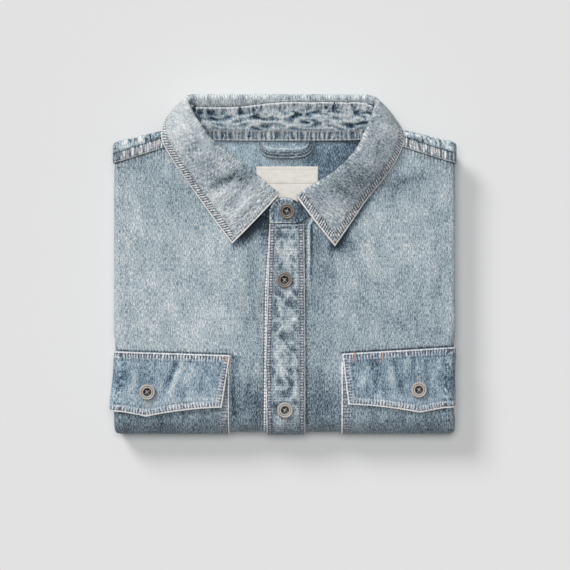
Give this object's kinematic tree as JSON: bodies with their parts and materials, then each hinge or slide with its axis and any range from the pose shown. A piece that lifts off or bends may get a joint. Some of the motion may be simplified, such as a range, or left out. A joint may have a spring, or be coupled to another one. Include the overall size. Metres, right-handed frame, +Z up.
{
  "type": "folded denim shirt",
  "caption": "Long-sleeved denim work shirt, buttoned and folded flat for a shelf, with a spread collar, flapped chest pockets, a neck loop and a blank label.",
  "frame": {"origin": "under the middle of the folded shirt's box, on the surface that it lies on", "axes": "+Z up out of the front of the shirt, +Y from the bottom fold towards the collar, +X towards the wearer's left"},
  "size_m": [0.2777, 0.2725, 0.0428],
  "materials": {
    "washed_denim": "stone-washed light indigo twill with pale worn seams",
    "collar_denim": "the same twill, paler at the worn edges",
    "inner_denim": "the twill's less faded side",
    "label_cotton": "unbleached woven cotton, blank",
    "grey_horn": "grey-brown imitation horn, satin"
  },
  "bodies": {
    "root": {"front_right": "washed_denim", "front_left": "washed_denim", "yoke_right": "washed_denim", "yoke_left": "washed_denim", "pocket_right": "washed_denim", "pocket_left": "washed_denim", "flap_right": "washed_denim", "flap_left": "washed_denim", "placket": "washed_denim", "button_placket": "washed_denim", "collar_leaf": "collar_denim", "collar_stand": "collar_denim", "hanger_loop": "collar_denim", "yoke_inside": "inner_denim", "hidden_layers": "inner_denim", "label": "label_cotton", "button_stand": "grey_horn", "button_chest": "grey_horn", "button_waist": "grey_horn", "button_flap_right": "grey_horn", "button_flap_left": "grey_horn"}
  },
  "joints": []
}
